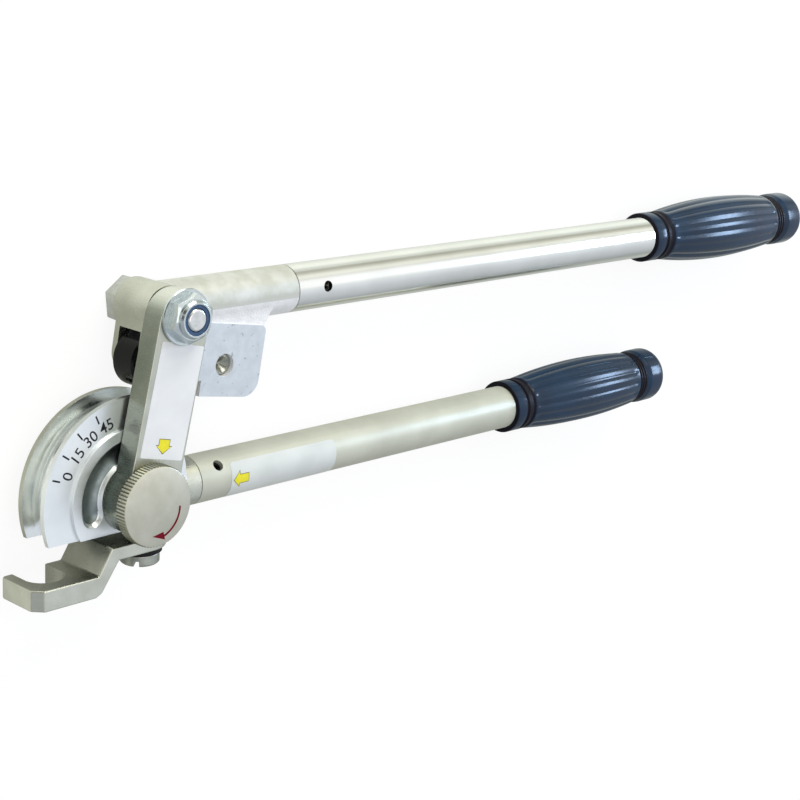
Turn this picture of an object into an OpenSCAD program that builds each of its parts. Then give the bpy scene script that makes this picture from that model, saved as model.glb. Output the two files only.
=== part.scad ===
// Lever tube bender: a grooved former on a fixed lower handle, a swinging link
// that carries the upper lever with two rollers, and a swinging hook that holds
// the tube. Millimetres. The origin is on the bend axis at the middle of the
// groove, +X runs along the lower handle, +Z along the bend axis to the knob.

/* [Workpiece] */
// Outside diameter of the tube that is bent
tube_od = 12.7; // [10:0.1:15]
// Bend radius to the tube's centre line
bend_radius = 38.1; // [34:0.1:44]

/* [Former] */
// How far the flanges stand past the tube's centre line
flange_rise = 4.7; // [2:0.1:5]
// Thickness of each flange at its rim
flange_t = 2.4; // [1.5:0.1:4]
// Radius of the raised hub inside the degree scale
hub_r = 29.5; // [27:0.1:31]
// Height of the hub above the degree scale
hub_rise = 1.4; // [0.5:0.1:3]
// Distance from the bend axis to the flat underside
base_drop = 14.4; // [13:0.1:17]
// Where the former's right side meets the neck
root_x = 30; // [26:0.5:33]
// Lean of the former's right side from upright
side_lean = 16.5; // [5:0.5:25]
// Middle radius of the cove cut in the hub
cove_r = 20.2; // [19.5:0.1:22]
// Width of the cove
cove_w = 10.2; // [6:0.1:11]
// Depth of the cove
cove_depth = 2.9; // [1:0.1:4]
// Angle of the cove's hidden end
cove_from = 72; // [60:1:90]
// Angle of the cove's lower end
cove_to = 194; // [150:1:200]

/* [Handles] */
// Outside diameter of the handle tubes
handle_od = 21.7; // [19:0.1:24]
// Wall of the handle tubes
handle_wall = 2.3; // [1.5:0.1:3]
// How far the lower handle's axis runs below the bend axis
lower_drop = 2.8; // [0:0.1:4]
// Bend axis to the seam of the lower handle
lower_seam = 37.5; // [35:0.5:44]
// Bend axis to the end of the lower grip
lower_reach = 373; // [320:1:450]
// Pivot bolt to the seam of the upper handle
upper_seam = 73.5; // [70:0.5:85]
// Pivot bolt to the end of the upper grip
upper_reach = 483; // [430:1:560]
// Length of the spigots inside the tubes
spigot_len = 34; // [28:1:45]
// Diameter of the spring pins through tube and spigot
spring_pin_d = 5; // [3:0.1:6]
// Gap between the end of a handle tube and the shoulder of its spigot
seam_gap = 0.45; // [0.1:0.05:0.8]
// Seam to the spring pin of the lower handle
lower_pin_at = 11; // [8:0.5:20]
// Seam to the spring pin of the upper handle
upper_pin_at = 17.5; // [8:0.5:20]
// Turn of the lower spring pin from the bend axis direction
lower_pin_turn = 40; // [0:1:60]
// Turn of the upper spring pin from the bend axis direction
upper_pin_turn = 6; // [0:1:60]

/* [Grips] */
// Length of the upper grip
upper_grip_len = 145; // [130:1:190]
// Greatest radius of the upper grip
upper_grip_r = 17.7; // [16.5:0.1:19]
// Length of the lower grip
lower_grip_len = 127; // [118:1:170]
// Greatest radius of the lower grip
lower_grip_r = 16.6; // [16:0.1:18]
// Wall of the grips' front collars round the tube
collar_wall = 2.55; // [1.8:0.05:3]
// Number of flutes round a grip
flutes = 15; // [8:1:16]

/* [Link] */
// Angle of the link from the lower handle
link_angle = 77.1; // [74:0.1:120]
// Thickness of the link
link_t = 10.7; // [8:0.1:14]
// Radius of the link's end round the bend axis
link_end_r = 15; // [13.5:0.1:15.5]
// Half width of the link, and radius of its end at the pivot bolt
link_half_w = 13; // [11:0.1:13.5]
// How far the link's middle line passes to the right of the pivot bolt
link_shift = 0.8; // [0:0.1:1.2]
// How far the middle of the link's round end is set in from the pivot bolt
link_end_in = 2; // [0:0.1:3]

/* [Lever head] */
// Radius of the cross barrel round the pivot bolt
barrel_r = 11.2; // [10:0.1:13]
// How far the barrel reaches behind the middle plane
barrel_back = 12; // [11.5:0.1:28]
// Turn of the roller carrier against the handle
head_tilt = 9; // [0:0.5:15]
// Thickness of each cheek of the roller carrier
cheek_t = 3.1; // [2:0.1:5]
// Slot between the cheeks, beyond the tube's diameter
slot_play = 1.3; // [0.8:0.1:3]
// Radius of the rollers
roller_r = 12.1; // [10:0.1:13]
// Pivot bolt to the line of the roller pins
roller_drop = 21.8; // [20:0.1:26]
// Distance between the two roller pins
roller_pitch = 35.5; // [32:0.5:42]
// Diameter of the roller pins
roller_pin_d = 10; // [6:0.1:12]
// How far the roller pins' ends lie below the cheeks' faces
roller_pin_sunk = 2; // [0.5:0.1:2.5]
// Left edge of the cheeks from the inner roller pin
cheek_left = 10; // [8:0.1:11]
// Right edge of the cheeks from the outer roller pin
cheek_end = 21; // [16:0.1:28]
// Lower edge of the cheeks below the inner roller pin
lobe_low = 7; // [6:0.1:9]
// Lower edge of the cheeks below the outer roller pin
plate_low = 13.8; // [12.5:0.1:16]
// Left edge of that lower part from the outer roller pin
plate_left = 12; // [8:0.5:13]
// Upper edge of the cheeks' machined face below the pivot bolt
plate_top = 3.8; // [2:0.1:6]

/* [Pivot bolt and nut] */
// Thread diameter of the pivot bolt
bolt_d = 10; // [8:0.5:12]
// Width across flats of its lock nut
nut_af = 18.5; // [16:0.5:19]
// Width across flats of its head
bolt_head_af = 19; // [15:0.5:21]
// Height of the bolt head
bolt_head_h = 6.8; // [5:0.1:8]
// Radius of the washer under the nut
washer_r = 12; // [11:0.1:13]
// Thickness of the washer
washer_t = 1.4; // [1:0.1:2.5]
// Height of the lock nut
nut_h = 6.9; // [5:0.1:10]

/* [Knob and stud] */
// Radius of the knurled knob
knob_r = 17.2; // [15:0.1:17.2]
// Thickness of the knob
knob_t = 6.5; // [5:0.1:9]
// Diameter of the stud that the link turns on
stud_d = 16; // [14:0.1:16]
// Thread diameter of the stud's end
stud_thread_d = 10; // [6:0.5:12]

/* [Hook] */
// Width of the hook bar along the bend axis
hook_w = 27; // [22:0.5:30]
// Middle of the hook bar above the groove's middle plane
hook_mid = 4; // [2:0.1:6]
// Thickness of the hook's arm
hook_arm_t = 6; // [5:0.1:8]
// Height of the pad between the former and the hook
hook_pad = 3; // [2.9:0.1:5]
// Step down from the arm's underside to the foot's top
hook_step = 4.9; // [2:0.1:8]
// Thickness of the hook's foot
hook_foot_t = 9.1; // [7:0.1:12]
// Where the arm's upper edge starts to slope down
hook_bend_x = -15; // [-17:0.1:-12]
// Slope of the hook's step, run for each unit of drop
hook_slope = 0.62; // [0.3:0.01:0.8]
// Thickness of the hook's outer prong
prong_t = 5.8; // [4:0.1:8]
// How much shorter the outer prong is than the hook bar's back edge
prong_cut = 1.8; // [0.5:0.1:4]
// Clearance of the notch round the tube
notch_play = 2.15; // [0.5:0.05:3]
// Middle of the notch above the groove's middle plane
notch_z = 1.5; // [0:0.1:3]
// Place of the hook screw along the lower handle
screw_x = 9.5; // [8.8:0.1:12]
// How far the middle of the hook's round end is set in from the screw
hook_end_in = 3; // [0:0.1:4]
// Thread diameter of the hook screw
screw_d = 8; // [5:0.1:8]
// Radius of the hook screw's head
screw_head_r = 8.5; // [6:0.1:9.5]
// Height of the hook screw's head
screw_head_h = 5.5; // [4:0.1:8]
// Thickness of the spring washer under the screw head
spring_washer_t = 3.2; // [1:0.1:3.5]

/* [Fits] */
// Radial clearance of running fits
run_fit = 0.06; // [0.02:0.01:0.1]
// Radial clearance of fixed fits
seat_fit = 0.02; // [0.01:0.01:0.05]
// Clearance between faces that pass each other
face_gap = 0.3; // [0.1:0.05:0.4]

/* [Hidden] */
$fn = 64;

// Small overlap that joins or cuts solids cleanly
eps = 0.5;
// Large reach for cutting tools
far = 400;

// Stud head on the former's back
stud_head_t = 3;
stud_head_r = stud_d / 2 + 1.5;

// Former
groove_r = tube_od / 2 + 0.05;
former_r = bend_radius + flange_rise;
former_half = groove_r + flange_t;
hub_z = former_half + hub_rise;
cove_ball_r = (cove_w * cove_w / 4 + cove_depth * cove_depth) / (2 * cove_depth);
cove_ball_z = hub_z + cove_ball_r - cove_depth;

// Handles
handle_r = handle_od / 2;
tube_bore_r = handle_r - handle_wall;
collar_r = handle_r + collar_wall;
spring_pin_r = spring_pin_d / 2;
spring_pin_len = handle_od - 5;
neck_start = stud_head_r + 0.7;
neck_start_r = min(handle_r, former_half - 0.1);
neck_root = link_end_r + 1;
neck_root_r = min(handle_r, hub_z - 0.1);
neck_full = neck_root + 6;
grip_end_t = 13;

// Lever head
slot_half = (tube_od + slot_play) / 2;
roller_half = slot_half - face_gap;
cheek_z = slot_half + cheek_t;
web_z = cheek_z - 0.8;
slot_top = roller_drop - roller_r - face_gap;
lobe_y = roller_drop + lobe_low;
plate_y = roller_drop + plate_low;
step_x = roller_pitch - plate_left;
cheek_right = roller_pitch + cheek_end;
roller_pin_r = roller_pin_d / 2;

// Stack along the bend axis, from the former outwards
link_z = max(hub_z, cheek_z) + face_gap;
link_top = link_z + link_t;
washer_top = link_top + washer_t;
nut_top = washer_top + nut_h;
knob_z = link_top + face_gap;
knob_top = knob_z + knob_t;
stud_tip_z = knob_top - 2;

// Link and pivot
link_len = bend_radius + tube_od / 2 + roller_r + roller_drop;
bolt_r = bolt_d / 2;
nut_hex_h = nut_h * 0.74;
nut_insert_r = bolt_r + 1.5;
nut_turn = 19;
bolt_x = link_len * cos(link_angle);
bolt_y = link_len * sin(link_angle);

// Hook, measured down from the bend axis
pad_low = max(base_drop + hook_pad, knob_r + 0.2);
arm_top = pad_low + face_gap / 2;
arm_low = arm_top + hook_arm_t;
foot_top = arm_low + hook_step;
foot_low = foot_top + hook_foot_t;
notch_r = tube_od / 2 + notch_play;
hook_left = -bend_radius - notch_r - prong_t;
hook_end_x = screw_x - hook_end_in;
hook_low = hook_mid - hook_w / 2;
foot_x = hook_bend_x - hook_slope * (foot_top - arm_top);
riser_x = hook_bend_x + 3.6;
heel_x = riser_x - hook_slope * (foot_low - arm_low);
heel_r = 3;
pad_r = 6.2;
washer_z = arm_low + face_gap / 2;
screw_seat = washer_z + spring_washer_t;
screw_r = screw_d / 2;
screw_tip = base_drop - 5.8;

// A round bar along X from x0 to x1
module bar_x(r, x0, x1) {
    translate([x0, 0, 0])
        rotate([0, 90, 0])
            cylinder(r = r, h = x1 - x0);
}

// A round bar along Y from y0 to y1
module bar_y(r, y0, y1) {
    translate([0, y1, 0])
        rotate([90, 0, 0])
            cylinder(r = r, h = y1 - y0);
}

// A round bar along Z from z0 to z1
module bar_z(r, z0, z1) {
    translate([0, 0, z0])
        cylinder(r = r, h = z1 - z0);
}

// A disc along Z with broken edges
module disc_z(r, z0, z1, edge) {
    rotate_extrude()
        polygon([
            [0, z0], [r - edge, z0], [r, z0 + edge],
            [r, z1 - edge], [r - edge, z1], [0, z1]
        ]);
}

// Frames of the moving pieces in the pose shown
module at_lower() {
    translate([0, -lower_drop, 0]) children();
}

module at_bolt() {
    translate([bolt_x, bolt_y, 0]) children();
}

module at_carrier() {
    at_bolt() rotate(-head_tilt) children();
}

module at_screw() {
    translate([screw_x, 0, hook_mid]) children();
}

// Cross hole or body of a spring pin, square to a handle
module cross_pin(r, len, at, turn) {
    translate([at, 0, 0])
        rotate([-turn, 0, 0])
            cylinder(r = r, h = len, center = true);
}

// Handle tube with its cross hole, from its seam at x0
module handle_tube(x0, x1, pin_at, turn) {
    difference() {
        bar_x(handle_r, x0 + seam_gap, x1);
        bar_x(tube_bore_r, x0 - eps, x1 + eps);
        cross_pin(spring_pin_r + seat_fit, handle_od + 2, x0 + pin_at, turn);
    }
}

// Rolled spring pin with its slit
module spring_pin(at, turn) {
    slit = spring_pin_r * 0.4;
    difference() {
        cross_pin(spring_pin_r, spring_pin_len, at, turn);
        cross_pin(spring_pin_r * 0.6, handle_od, at, turn);
        translate([at, 0, 0])
            rotate([-turn, 0, 0])
                translate([0, -slit / 2, -handle_od / 2])
                    cube([handle_r, slit, handle_od]);
    }
}

// Grip profile, by place u along the grip from 0 at its front to 1 at its end
grip_front = 0.112;
grip_peak = 0.505;
grip_waist = 0.812;
grip_neck = [0.825, 0.87];
grip_cap = 0.893;
grip_ring_depth = 0.8;
grip_neck_depth = 0.75;
grip_round = 5;
flute_turn = 4;

function grip_r(r, u) =
    r - (r - collar_r) * pow((u - grip_peak) / (grip_peak - grip_front), 2);

function grip_cap_r(r) = grip_r(r, grip_waist) + 0.1;

function grip_rings(len) = [
    [0, 0], [collar_r - grip_ring_depth, 0], [collar_r, grip_ring_depth], [collar_r, 0.054 * len],
    [collar_r - grip_ring_depth, 0.059 * len], [collar_r - grip_ring_depth, 0.067 * len],
    [collar_r, 0.073 * len], [collar_r, 0.083 * len],
    [collar_r - grip_ring_depth, 0.088 * len], [collar_r - grip_ring_depth, 0.104 * len]
];

function grip_barrel(r, len) = [
    for (i = [0 : 12])
        let (u = grip_front + (grip_waist - grip_front) * i / 12)
        [grip_r(r, u), u * len]
];

function grip_end(r, len) = [
    [grip_cap_r(r) - grip_neck_depth, grip_neck[0] * len],
    [grip_cap_r(r) - grip_neck_depth, grip_neck[1] * len],
    [grip_cap_r(r), grip_cap * len],
    for (i = [0 : 6])
        let (a = i * 90 / 6)
        [grip_cap_r(r) - grip_round * (1 - cos(a)), len - grip_round * (1 - sin(a))],
    [0, len]
];

// One straight flute along the barrel from u0 to u1, following its slope
module flute(r, len, u0, u1) {
    flute_r = 2.6;
    depth = 0.6;
    r0 = grip_r(r, u0) - depth + flute_r;
    r1 = grip_r(r, u1) - depth + flute_r;
    run = (u1 - u0) * len;
    translate([u0 * len, 0, r0])
        rotate([0, atan2(r0 - r1, run), 0])
            bar_x(flute_r, 0, norm([run, r1 - r0]));
}

module grip(x_end, len, r) {
    meet = 0.045;
    translate([x_end - len, 0, 0])
        difference() {
            rotate([0, 90, 0])
                rotate_extrude()
                    polygon(concat(grip_rings(len), grip_barrel(r, len), grip_end(r, len)));
            bar_x(handle_r + seat_fit, -eps, len - grip_end_t);
            for (i = [0 : flutes - 1])
                rotate([i * 360 / flutes - flute_turn, 0, 0]) {
                    flute(r, len, grip_front + 0.02, grip_peak + meet);
                    flute(r, len, grip_peak - meet, grip_waist - 0.015);
                }
        }
}

// Section of the former: wheel with a deep round-bottomed groove, and its hub
module former_section() {
    difference() {
        union() {
            translate([0, -former_half]) square([former_r, 2 * former_half]);
            square([hub_r, hub_z]);
        }
        translate([bend_radius, 0]) circle(groove_r);
        translate([bend_radius, -groove_r]) square([former_r, 2 * groove_r]);
    }
}

// Outline that trims the wheel to its working arc
module former_outline() {
    neck_top = handle_r - lower_drop;
    rise = 2 * former_r - neck_top;
    polygon([
        [-2 * former_r, -base_drop], [root_x, -base_drop], [root_x, neck_top],
        [root_x - rise * tan(side_lean), 2 * former_r], [-2 * former_r, 2 * former_r]
    ]);
}

// Cove in the hub, concentric with the bend axis, with round ends
module cove_run() {
    rotate([0, 0, cove_from])
        rotate_extrude(angle = cove_to - cove_from)
            translate([cove_r, cove_ball_z]) circle(cove_ball_r);
}

module cove_end(a) {
    rotate([0, 0, a])
        translate([cove_r, 0, cove_ball_z])
            sphere(cove_ball_r + seat_fit);
}

// Neck that swells from the former's thickness to the handle's full size, and its spigot
module lower_neck() {
    rotate([0, 90, 0])
        rotate_extrude()
            polygon([
                [0, neck_start], [neck_start_r, neck_start], [neck_root_r, neck_root],
                [handle_r, neck_full], [handle_r, lower_seam],
                [tube_bore_r - seat_fit, lower_seam],
                [tube_bore_r - seat_fit, lower_seam + spigot_len], [0, lower_seam + spigot_len]
            ]);
}

module bending_former() {
    color("gainsboro")
    difference() {
        union() {
            intersection() {
                rotate_extrude() former_section();
                translate([0, 0, -far / 2]) linear_extrude(far) former_outline();
            }
            at_lower() lower_neck();
            at_screw() bar_y(pad_r, -pad_low, -base_drop + eps);
        }
        cove_run();
        cove_end(cove_from);
        cove_end(cove_to);
        bar_z(stud_d / 2 + seat_fit, -far, far);
        at_screw() bar_y(screw_r + seat_fit, -far, -screw_tip);
        at_lower()
            cross_pin(spring_pin_r + seat_fit, handle_od + 2, lower_seam + lower_pin_at, lower_pin_turn);
    }
}

module centre_stud() {
    color("silver") {
        disc_z(stud_head_r, -former_half - stud_head_t, -former_half, 0.8);
        bar_z(stud_d / 2, -former_half - eps, link_top);
        bar_z(stud_thread_d / 2, link_top - eps, stud_tip_z);
    }
}

module lower_tube() {
    color("silver")
    at_lower()
        handle_tube(lower_seam, lower_reach - grip_end_t, lower_pin_at, lower_pin_turn);
}

module lower_spring_pin() {
    color("dimgray")
    at_lower() spring_pin(lower_seam + lower_pin_at, lower_pin_turn);
}

module lower_grip() {
    color("midnightblue")
    at_lower() grip(lower_reach, lower_grip_len, lower_grip_r);
}

module hook_screw() {
    slot_w = 2.4;
    slot_d = 2.6;
    slot_turn = 42;
    color("silver")
    at_screw()
        difference() {
            union() {
                bar_y(screw_r, -screw_seat, -screw_tip);
                rotate([90, 0, 0])
                    disc_z(screw_head_r, screw_seat, screw_seat + screw_head_h, 0.8);
            }
            rotate([0, slot_turn, 0])
                translate([-far / 2, -screw_seat - screw_head_h - eps, -slot_w / 2])
                    cube([far, slot_d + eps, slot_w]);
        }
}

module hook_spring_washer() {
    split = 1.2;
    split_turn = 25;
    rim = 1;
    color("black")
    at_screw()
        difference() {
            bar_y(screw_head_r + rim, -screw_seat, -washer_z);
            bar_y(screw_r + seat_fit, -far, far);
            rotate([0, split_turn, 0])
                translate([0, -far / 2, -split / 2])
                    cube([far, far, split]);
        }
}

// Side view of the hook: arm, sloping step and foot
module hook_side() {
    right = screw_x + hook_w;
    polygon([
        [right, -arm_top], [hook_bend_x, -arm_top], [foot_x, -foot_top],
        [hook_left, -foot_top], [hook_left, -foot_low], [heel_x - heel_r, -foot_low],
        [heel_x, -foot_low + heel_r / 2], [riser_x, -arm_low], [right, -arm_low]
    ]);
}

// Plan of the hook: round pivot end, notch open to the back, bevelled corner,
// and a shorter outer prong with a round tip
module hook_plan() {
    bevel = 4.2;
    tip_r = 2.6;
    tip_z = hook_low + prong_cut;
    hook_high = hook_low + hook_w;
    difference() {
        union() {
            translate([hook_end_x, hook_mid]) circle(hook_w / 2);
            polygon([
                [hook_end_x, hook_low], [hook_end_x, hook_high],
                [hook_left + bevel, hook_high], [hook_left, hook_high - bevel],
                [hook_left, tip_z + tip_r], [-bend_radius, tip_z + tip_r], [-bend_radius, hook_low]
            ]);
            translate([hook_left + tip_r, tip_z + tip_r]) circle(tip_r);
            translate([hook_left + tip_r, tip_z]) square([prong_t - tip_r, tip_r + eps]);
        }
        translate([-bend_radius, notch_z]) circle(notch_r);
        translate([-bend_radius - notch_r, hook_low - eps])
            square([2 * notch_r, notch_z - hook_low + eps]);
        translate([screw_x, hook_mid]) circle(screw_r + run_fit);
    }
}

module tube_hook() {
    color("silver")
    intersection() {
        translate([0, 0, -far / 2]) linear_extrude(far) hook_side();
        rotate([90, 0, 0]) linear_extrude(far) hook_plan();
    }
}

// Link outline with its knob end at the origin and its bolt end along +X; its
// right edge touches the knob end's circle, and its left edge is set in
module link_outline() {
    end_x = link_len - link_end_in;
    left = 2 * link_half_w - link_end_r;
    circle(link_end_r);
    translate([end_x, -link_shift]) circle(link_half_w);
    polygon([
        [0, -link_end_r], [end_x, -link_shift - link_half_w],
        [end_x, link_half_w - link_shift], [0, left]
    ]);
}

module link_bar() {
    color("darkgray")
    rotate(link_angle)
        translate([0, 0, link_z])
            linear_extrude(link_t)
                difference() {
                    link_outline();
                    circle(stud_d / 2 + run_fit);
                    translate([link_len, 0]) circle(bolt_r + seat_fit);
                }
}

module pivot_bolt() {
    tip = 0.8;
    stand = 0.2;
    head_turn = 36;
    head_z = -barrel_back - face_gap - bolt_head_h;
    color("silver")
    at_bolt() {
        translate([0, 0, head_z])
            rotate(head_turn)
                cylinder(d = bolt_head_af / cos(30), h = bolt_head_h, $fn = 6);
        rotate_extrude()
            polygon([
                [0, head_z + eps], [bolt_r, head_z + eps], [bolt_r, nut_top - tip],
                [bolt_r - tip, nut_top + stand], [0, nut_top + stand]
            ]);
    }
}

module pivot_washer() {
    color("gainsboro")
    at_bolt()
        difference() {
            disc_z(washer_r, link_top, washer_top, 0.3);
            bar_z(bolt_r + seat_fit, -far, far);
        }
}

module lock_nut() {
    collar = nut_af * 0.44;
    lip = 0.9;
    corner_r = nut_af / cos(30) / 2;
    bevel_r = nut_af * 0.47;
    bevel_h = (corner_r - bevel_r) * tan(30);
    color("lightsteelblue")
    at_bolt()
        difference() {
            union() {
                intersection() {
                    translate([0, 0, washer_top])
                        rotate(nut_turn)
                            cylinder(r = corner_r, h = nut_hex_h, $fn = 6);
                    rotate_extrude()
                        polygon([
                            [0, washer_top - eps], [corner_r + eps, washer_top - eps],
                            [corner_r + eps, washer_top + nut_hex_h - bevel_h - eps * tan(30)],
                            [bevel_r, washer_top + nut_hex_h], [0, washer_top + nut_hex_h + eps]
                        ]);
                }
                disc_z(collar, washer_top, nut_top, lip);
            }
            bar_z(bolt_r + seat_fit, -far, far);
            bar_z(nut_insert_r + seat_fit, washer_top + nut_hex_h, far);
        }
}

module nut_insert() {
    sink = 0.4;
    color("royalblue")
    at_bolt()
        difference() {
            bar_z(nut_insert_r, washer_top + nut_hex_h, nut_top - sink);
            bar_z(bolt_r + seat_fit, -far, far);
        }
}

// Cheek outline in the carrier's frame: a round-cornered lobe at the inner
// roller and a deeper plate round the outer roller
module cheek_outline() {
    lobe_r = 9;
    low_r = 8;
    top_r = 3;
    right = cheek_right - low_r;
    translate([lobe_r - cheek_left, lobe_r - lobe_y]) circle(lobe_r);
    translate([-cheek_left, lobe_r - lobe_y]) square([cheek_left, lobe_y - lobe_r]);
    translate([lobe_r - cheek_left, -lobe_y])
        square([step_x - lobe_r + cheek_left + eps, lobe_y - plate_top]);
    translate([step_x, -plate_y]) square([right - step_x, plate_y - plate_top]);
    translate([right, low_r - plate_y]) circle(low_r);
    translate([right - eps, low_r - plate_y])
        square([low_r + eps, plate_y - low_r - plate_top - top_r]);
    translate([cheek_right - top_r, -plate_top - top_r]) circle(top_r);
    translate([right - eps, -plate_top - top_r - eps])
        square([low_r + eps - top_r, top_r + eps]);
}

// Point of the carrier's frame in the lever's frame
function to_lever(p) = [
    p[0] * cos(head_tilt) + p[1] * sin(head_tilt),
    -p[0] * sin(head_tilt) + p[1] * cos(head_tilt)
];

// Cast web between the neck and the cheeks
module web_outline() {
    root = 5.5;
    waist = 1.6;
    waist_y = -6.8;
    inset = 1.5;
    foot_y = -plate_top - 2;
    polygon([
        [0, 0], [cheek_right + root, 0], [cheek_right + waist, waist_y],
        to_lever([cheek_right - inset, foot_y]), to_lever([0, foot_y])
    ]);
}

// Round blend between the neck and the web's two faces
module web_blend() {
    blend_r = 14;
    steps = 7;
    sink = 0.05;
    reach = sqrt(pow(handle_r + blend_r, 2) - pow(web_z + blend_r, 2));
    sweep = asin(reach / (handle_r + blend_r));
    curve = [
        for (i = [0 : steps])
            let (a = sweep * i / steps)
            [blend_r * sin(a) - reach, web_z - sink + blend_r * (1 - cos(a))]
    ];
    intersection() {
        translate([0, 0, -handle_r]) linear_extrude(2 * handle_r) web_outline();
        for (side = [-1, 1])
            rotate([90, 0, 90])
                linear_extrude(far)
                    polygon([for (p = concat([[-reach, 0]], curve, [[0, 0]])) [p[0], side * p[1]]]);
    }
}

module lever_head() {
    color("gainsboro")
    difference() {
        union() {
            at_bolt() bar_z(barrel_r, -barrel_back, cheek_z);
            at_bolt() bar_x(handle_r, 0, upper_seam);
            at_bolt() bar_x(tube_bore_r - seat_fit, upper_seam - eps, upper_seam + spigot_len);
            at_bolt() translate([0, 0, -web_z]) linear_extrude(2 * web_z) web_outline();
            at_bolt() web_blend();
            at_carrier() translate([0, 0, -cheek_z]) linear_extrude(2 * cheek_z) cheek_outline();
        }
        at_bolt()
            translate([-far, -far / 2, cheek_z])
                cube([far + link_half_w + 1.2, far, far]);
        at_carrier()
            translate([-far / 2, -far - slot_top, -slot_half])
                cube([far, far, 2 * slot_half]);
        at_bolt() bar_z(bolt_r + run_fit, -far, far);
        for (x = [0, roller_pitch])
            at_carrier()
                translate([x, -roller_drop, 0])
                    bar_z(roller_pin_r + seat_fit, -far, far);
        at_bolt()
            cross_pin(spring_pin_r + seat_fit, handle_od + 2, upper_seam + upper_pin_at, upper_pin_turn);
    }
}

module upper_tube() {
    color("silver")
    at_bolt()
        handle_tube(upper_seam, upper_reach - grip_end_t, upper_pin_at, upper_pin_turn);
}

module upper_spring_pin() {
    color("dimgray")
    at_bolt() spring_pin(upper_seam + upper_pin_at, upper_pin_turn);
}

module upper_grip() {
    color("midnightblue")
    at_bolt() grip(upper_reach, upper_grip_len, upper_grip_r);
}

// Roller pin with a wide countersink in each end
module roller_pin(x) {
    half = cheek_z - roller_pin_sunk;
    wide = roller_pin_r * 1.4;
    at_carrier()
        translate([x, -roller_drop, 0])
            difference() {
                disc_z(roller_pin_r, -half, half, 0.6);
                for (side = [-1, 1])
                    translate([0, 0, side * half])
                        cylinder(r1 = side < 0 ? wide : 0, r2 = side < 0 ? 0 : wide, h = wide, center = true);
            }
}

module roller(x) {
    at_carrier()
        translate([x, -roller_drop, 0])
            difference() {
                disc_z(roller_r, -roller_half, roller_half, 0.8);
                bar_z(roller_pin_r + run_fit, -far, far);
            }
}

module inner_roller_pin() {
    color("tan") roller_pin(0);
}

module outer_roller_pin() {
    color("tan") roller_pin(roller_pitch);
}

module inner_roller() {
    color("black") roller(0);
}

module outer_roller() {
    color("black") roller(roller_pitch);
}

module clamp_knob() {
    color("silver")
    difference() {
        disc_z(knob_r, knob_z, knob_top, 0.7);
        bar_z(stud_thread_d / 2 + run_fit, 0, stud_tip_z + face_gap);
    }
}

bending_former();
centre_stud();
lower_tube();
lower_spring_pin();
lower_grip();
hook_screw();
hook_spring_washer();
tube_hook();
link_bar();
pivot_bolt();
pivot_washer();
lock_nut();
nut_insert();
lever_head();
upper_tube();
upper_spring_pin();
upper_grip();
inner_roller_pin();
outer_roller_pin();
inner_roller();
outer_roller();
clamp_knob();
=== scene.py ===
"""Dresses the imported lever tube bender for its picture.

Lengths in the dataclasses are millimetres, Blender works in metres. The bend axis is Z, the
lower handle runs along +X, and the tool lies on a pale floor below its bolt head.
"""
import logging
import math
from collections.abc import Callable
from dataclasses import dataclass
from enum import Enum
from functools import cache
from itertools import pairwise

import bmesh
import bpy
from mathutils import Matrix, Quaternion, Vector


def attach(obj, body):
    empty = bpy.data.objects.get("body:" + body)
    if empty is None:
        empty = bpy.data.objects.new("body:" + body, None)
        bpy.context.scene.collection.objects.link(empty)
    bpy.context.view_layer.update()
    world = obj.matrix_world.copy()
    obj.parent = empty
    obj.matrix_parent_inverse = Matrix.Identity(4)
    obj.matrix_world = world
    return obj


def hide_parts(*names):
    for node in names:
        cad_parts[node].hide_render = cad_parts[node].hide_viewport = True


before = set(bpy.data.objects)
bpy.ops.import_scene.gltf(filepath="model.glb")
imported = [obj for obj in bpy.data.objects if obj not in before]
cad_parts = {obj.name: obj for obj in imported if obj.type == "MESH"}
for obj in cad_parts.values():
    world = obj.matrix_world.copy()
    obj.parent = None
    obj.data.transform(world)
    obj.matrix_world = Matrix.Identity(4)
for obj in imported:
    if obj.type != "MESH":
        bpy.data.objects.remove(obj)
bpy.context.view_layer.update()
LOG = logging.getLogger("tube_bender")
MM = 0.001
Profile = list[tuple[float, float]]
Chooser = Callable[[Vector, Vector], int]
Layer = Callable[[float, float, float], Vector]
Tree, Socket = bpy.types.NodeTree, bpy.types.NodeSocket
Object, Mesh = bpy.types.Object, bpy.types.Mesh
SMOOTH = {"interpolation_type": "SMOOTHSTEP"}
# Edges flatter than the first are dropped, steeper than the second broken, than the third shaded sharp.
FLAT_EDGE, BROKEN_EDGE, SHARP_EDGE = math.radians(0.5), math.radians(28), math.radians(35)
# Width of the broken edges of each node that is copied.
EDGES = {"bending_former": 0.45, "lower_tube": 0.3, "link_bar": 0.6, "lock_nut": 0.3, "pivot_bolt": 0.5,
         "lever_head": 0.6, "upper_tube": 0.3, "tube_hook": 0.7, "hook_screw": 0.3}
# Stretch of the noise that clouds the tones, sets the gloss and makes flecks, and the flecks' size and tone.
CLOUD_RANGE, GLOSS_RANGE, FLECK_RANGE = (0.35, 0.65), (0.3, 0.7), (0.64, 0.76)
FLECK_SIZE, FLECK_TONE = 2.6, "#3c3d38"
# Radians that Blender's wave texture runs through in one unit of its scale.
WAVE_RADIANS = 20
# Thickness of a label's film, how far its arrow's border and fill stand off, and the border's width.
FILM, BORDER_INK, FILL_INK, BORDER = 0.08, 0.1, 0.13, 0.25
# How much further than its width that border reaches at the slanted head's tip and sides.
TIP_REACH, HEAD_REACH = 1.6, 2.0
# A grid so wide that a flat film stays in one piece.
WHOLE = 100.0


class Body(Enum):
    """Bodies of the frame that the pieces ride on."""

    BASE = "base"
    LINK = "link"
    LEVER = "lever"
    HOOK = "hook"
    KNOB = "knob"


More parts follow.
